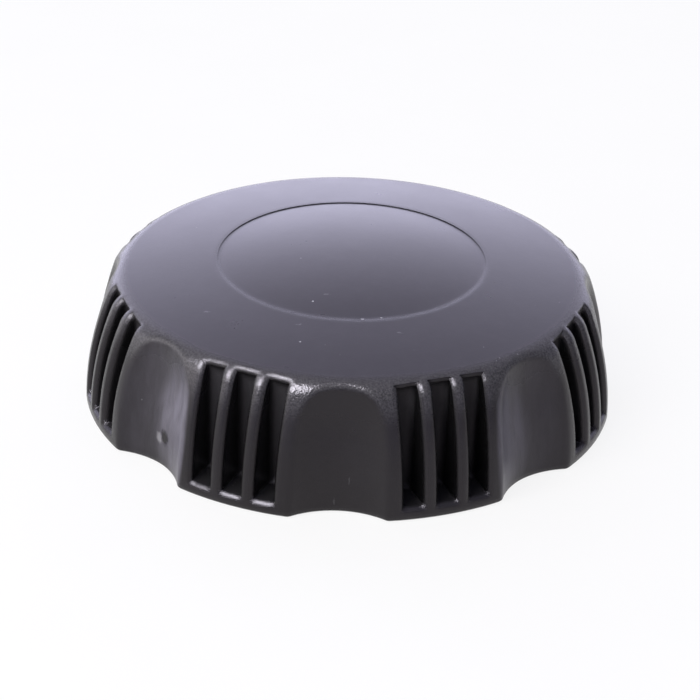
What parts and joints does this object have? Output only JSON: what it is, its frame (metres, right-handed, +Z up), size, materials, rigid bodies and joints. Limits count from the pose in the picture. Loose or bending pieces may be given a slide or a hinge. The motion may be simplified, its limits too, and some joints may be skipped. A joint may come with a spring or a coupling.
{
  "type": "fuel filler cap",
  "caption": "Round screw-on fuel filler cap with a lobed, slotted grip cover that ratchets on a threaded closure, and a two-way vent valve inside.",
  "frame": {"origin": "centre of the cap's bottom rim, in the plane that it stands on", "axes": "+Z up along the cap's screw axis, out of its domed top; -Y is the front, through the middle of a finger scallop"},
  "size_m": [0.1082, 0.1082, 0.0318],
  "materials": {
    "cover": "satin moulded black",
    "closure": "satin moulded black",
    "pawls": "natural acetal",
    "valve_plastic": "satin moulded black",
    "rubber": "matt nitrile rubber",
    "washer": "smooth natural polymer",
    "spring_steel": "bright spring wire",
    "filter_foam": "open-cell foam"
  },
  "bodies": {
    "closure": {"closure_body": "closure", "neck_gasket": "rubber", "slip_washer": "washer", "valve_housing": "valve_plastic", "housing_o_ring": "rubber", "splash_baffle": "valve_plastic", "valve_cap": "valve_plastic", "vent_filter": "filter_foam", "pressure_spring": "spring_steel"},
    "cover": {"grip_cover": "cover", "snap_ring": "valve_plastic", "pawl_ring": "pawls"},
    "pressure_valve": {"pressure_plate": "pawls", "pressure_seal": "rubber", "vacuum_spring": "spring_steel"},
    "vacuum_valve": {"vacuum_valve": "pawls", "vacuum_seal": "rubber", "stem_keeper": "spring_steel"}
  },
  "joints": [
    {"name": "cover_turn", "type": "hinge", "parent": "closure", "child": "cover", "pos_m": [0, 0, 0], "axis": [0, 0, 1], "continuous": true},
    {"name": "pressure_lift", "type": "slide", "parent": "closure", "child": "pressure_valve", "axis": [0, 0, 1], "range_m": [0, 0.0015], "stiffness_N_per_m": 400, "springref_m": -0.004, "deforming": ["pressure_spring"]},
    {"name": "vacuum_drop", "type": "slide", "parent": "pressure_valve", "child": "vacuum_valve", "axis": [0, 0, -1], "range_m": [0, 0.001], "stiffness_N_per_m": 120, "springref_m": -0.002, "deforming": ["vacuum_spring"]}
  ]
}
